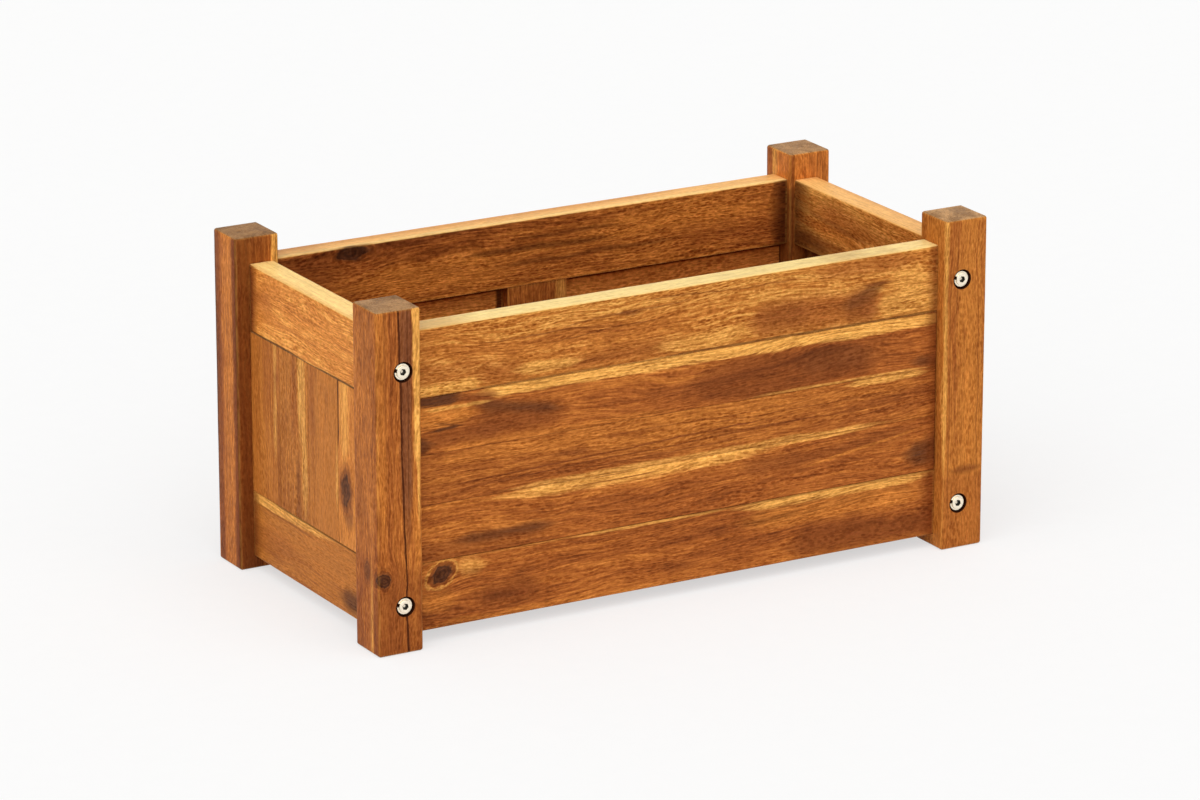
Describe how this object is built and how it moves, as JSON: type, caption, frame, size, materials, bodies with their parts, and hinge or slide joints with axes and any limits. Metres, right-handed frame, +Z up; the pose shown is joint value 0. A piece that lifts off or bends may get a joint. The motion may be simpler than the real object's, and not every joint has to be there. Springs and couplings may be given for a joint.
{
  "type": "raised garden bed",
  "caption": "Low rectangular planter box of oiled hardwood: square corner posts, framed and panelled sides, bolted ends and a slatted floor that drains.",
  "frame": {"origin": "on the ground at the middle of the bed, where the posts stand", "axes": "+X along the length, -Y towards the front with its bolt heads, +Z up"},
  "size_m": [0.5, 0.25, 0.25],
  "materials": {
    "post_wood": "oiled, satin",
    "rail_wood": "oiled, satin",
    "panel_wood": "oiled, satin",
    "floor_wood": "oiled, matt",
    "dowel_wood": "bare wood",
    "bolt_steel": "zinc plated",
    "screw_steel": "zinc plated"
  },
  "bodies": {
    "root": {"post_front_left": "post_wood", "post_front_right": "post_wood", "post_back_left": "post_wood", "post_back_right": "post_wood", "front_top_rail": "rail_wood", "front_bottom_rail": "rail_wood", "back_top_rail": "rail_wood", "back_bottom_rail": "rail_wood", "left_top_rail": "rail_wood", "left_bottom_rail": "rail_wood", "right_top_rail": "rail_wood", "right_bottom_rail": "rail_wood", "front_stave_upper": "panel_wood", "front_stave_middle": "panel_wood", "front_stave_lower": "panel_wood", "back_stave_upper": "panel_wood", "back_stave_middle": "panel_wood", "back_stave_lower": "panel_wood", "left_stave_1": "panel_wood", "left_stave_2": "panel_wood", "left_stave_3": "panel_wood", "left_stave_4": "panel_wood", "right_stave_1": "panel_wood", "right_stave_2": "panel_wood", "right_stave_3": "panel_wood", "right_stave_4": "panel_wood", "front_batten": "panel_wood", "back_batten": "panel_wood", "front_bearer": "floor_wood", "back_bearer": "floor_wood", "floor_slat_1": "floor_wood", "floor_slat_2": "floor_wood", "floor_slat_3": "floor_wood", "floor_slat_4": "floor_wood", "floor_slat_5": "floor_wood", "floor_slat_6": "floor_wood", "floor_slat_7": "floor_wood", "floor_slat_8": "floor_wood", "long_rail_dowels": "dowel_wood", "end_rail_dowels": "dowel_wood", "batten_dowels": "dowel_wood", "frame_bolts": "bolt_steel", "spring_washers": "bolt_steel", "bearer_screws": "screw_steel", "floor_screws": "screw_steel", "threaded_inserts": "screw_steel"}
  },
  "joints": []
}
